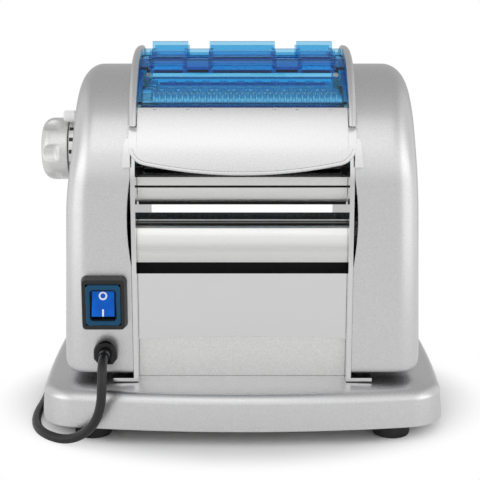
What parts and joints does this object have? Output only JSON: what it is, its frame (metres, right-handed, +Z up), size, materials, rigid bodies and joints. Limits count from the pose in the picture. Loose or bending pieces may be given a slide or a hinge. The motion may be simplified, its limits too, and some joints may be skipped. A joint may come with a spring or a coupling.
{
  "type": "electric pasta maker",
  "caption": "Electric pasta maker: silver end housings on a base, geared rollers and cutters under a blue guard, thickness knob, rocker switch and mains cord.",
  "frame": {"origin": "on the table under the middle of the machine", "axes": "+X along the rollers towards the gear side, +Y from the front to the back, +Z up"},
  "size_m": [0.3033, 0.3206, 0.2756],
  "materials": {
    "painted": "fine metallic silver paint, satin",
    "chrome": "polished plated steel",
    "grained_silver": "fine grained silver, satin",
    "steel": "turned and milled steel",
    "bronze": "sintered bronze",
    "blue_clear": "transparent blue plastic",
    "blue_bezel": "dark blue moulded plastic",
    "blue_rocker": "blue moulded plastic",
    "black_plastic": "black moulded plastic",
    "cord_black": "black PVC cord sheath",
    "rubber": "black rubber",
    "silver_plastic": "silver painted plastic"
  },
  "bodies": {
    "machine": {"base": "painted", "base_plate": "steel", "bushes": "bronze", "cord": "cord_black", "cord_coil": "cord_black", "cord_gland": "black_plastic", "cord_tail": "cord_black", "cord_tie": "black_plastic", "cutter_combs": "black_plastic", "feet": "rubber", "front_apron": "chrome", "front_cover": "chrome", "front_plate": "chrome", "front_scraper_bar": "chrome", "gear_axles": "steel", "gearbox": "black_plastic", "knob_dial": "silver_plastic", "left_frame": "chrome", "left_housing": "painted", "left_rim": "painted", "lower_panel": "grained_silver", "motor": "steel", "motor_saddle": "steel", "peg_spring": "steel", "plug": "black_plastic", "rear_apron": "chrome", "rear_plate": "chrome", "rear_scraper_bar": "chrome", "right_frame": "chrome", "right_housing": "painted", "right_rim": "painted", "roller_scrapers": "black_plastic", "screws": "steel", "switch_bezel": "blue_bezel", "switch_body": "black_plastic", "switch_boot": "black_plastic", "tie_rods": "steel", "tray": "chrome", "vent_strip": "black_plastic"},
    "guard": {"guard": "blue_clear"},
    "front_roller": {"front_roller": "chrome", "roller_gear": "steel", "front_long_gear": "steel"},
    "carrier": {"left_carrier": "steel", "right_carrier": "steel"},
    "rear_roller": {"rear_roller": "chrome", "rear_long_gear": "steel"},
    "big_gear": {"big_gear": "steel"},
    "idler_gear": {"idler_gear": "steel"},
    "motor_pinion": {"motor_pinion": "steel"},
    "fine_cutter_front": {"fine_cutter_front": "steel"},
    "fine_cutter_rear": {"fine_cutter_rear": "steel", "front_cutter_gear": "steel"},
    "wide_cutter_front": {"wide_cutter_front": "steel", "rear_cutter_gear": "steel"},
    "wide_cutter_rear": {"wide_cutter_rear": "steel"},
    "thickness_knob": {"thickness_knob": "silver_plastic", "knob_shaft": "steel"},
    "lock_peg": {"lock_peg": "silver_plastic"},
    "rocker": {"rocker": "blue_rocker"}
  },
  "joints": [
    {"name": "front_roller_spin", "type": "hinge", "parent": "machine", "child": "front_roller", "pos_m": [0, -0.02925, 0.196], "axis": [1, 0, 0], "continuous": true},
    {"name": "carrier_slide", "type": "slide", "parent": "machine", "child": "carrier", "axis": [0, 1, 0], "range_m": [-0.0024, 0]},
    {"name": "rear_roller_spin", "type": "hinge", "parent": "carrier", "child": "rear_roller", "pos_m": [0, 0.00125, 0.196], "axis": [1, 0, 0], "continuous": true},
    {"name": "big_gear_spin", "type": "hinge", "parent": "machine", "child": "big_gear", "pos_m": [0, -0.01883, 0.13691], "axis": [1, 0, 0], "continuous": true},
    {"name": "idler_gear_spin", "type": "hinge", "parent": "machine", "child": "idler_gear", "pos_m": [0, 0.00535, 0.214], "axis": [1, 0, 0], "continuous": true},
    {"name": "motor_pinion_spin", "type": "hinge", "parent": "machine", "child": "motor_pinion", "pos_m": [0, -0.00498, 0.09885], "axis": [1, 0, 0], "continuous": true},
    {"name": "fine_cutter_front_spin", "type": "hinge", "parent": "machine", "child": "fine_cutter_front", "pos_m": [0, -0.0464, 0.235], "axis": [1, 0, 0], "continuous": true},
    {"name": "fine_cutter_rear_spin", "type": "hinge", "parent": "machine", "child": "fine_cutter_rear", "pos_m": [0, -0.0296, 0.235], "axis": [1, 0, 0], "continuous": true},
    {"name": "wide_cutter_front_spin", "type": "hinge", "parent": "machine", "child": "wide_cutter_front", "pos_m": [0, 0.0056, 0.235], "axis": [1, 0, 0], "continuous": true},
    {"name": "wide_cutter_rear_spin", "type": "hinge", "parent": "machine", "child": "wide_cutter_rear", "pos_m": [0, 0.0224, 0.235], "axis": [1, 0, 0], "continuous": true},
    {"name": "thickness_knob_turn", "type": "hinge", "parent": "machine", "child": "thickness_knob", "pos_m": [-0.1495, 0.00005, 0.196], "axis": [1, 0, 0], "range_deg": [0, 100]},
    {"name": "lock_peg_push", "type": "slide", "parent": "machine", "child": "lock_peg", "axis": [1, 0, 0], "range_m": [0, 0.003], "stiffness_N_per_m": 400, "springref_m": -0.001},
    {"name": "rocker_tilt", "type": "hinge", "parent": "machine", "child": "rocker", "pos_m": [-0.0975, -0.0795, 0.0985], "axis": [1, 0, 0], "range_deg": [0, 20]},
    {"name": "guard_lift", "type": "slide", "parent": "machine", "child": "guard", "axis": [0, 0, 1], "range_m": [0, 0.06]}
  ],
  "couplings": [
    {"joint": "rear_roller_spin", "follows": "front_roller_spin", "ratio": -1},
    {"joint": "big_gear_spin", "follows": "front_roller_spin", "ratio": -0.90476},
    {"joint": "motor_pinion_spin", "follows": "front_roller_spin", "ratio": 3.1667},
    {"joint": "fine_cutter_rear_spin", "follows": "front_roller_spin", "ratio": -2.7143},
    {"joint": "fine_cutter_front_spin", "follows": "front_roller_spin", "ratio": 2.7143},
    {"joint": "idler_gear_spin", "follows": "front_roller_spin", "ratio": -2.7143},
    {"joint": "wide_cutter_front_spin", "follows": "front_roller_spin", "ratio": 2.7143},
    {"joint": "wide_cutter_rear_spin", "follows": "front_roller_spin", "ratio": -2.7143},
    {"joint": "thickness_knob_turn", "follows": "carrier_slide", "rad_per_m": -727.22}
  ]
}
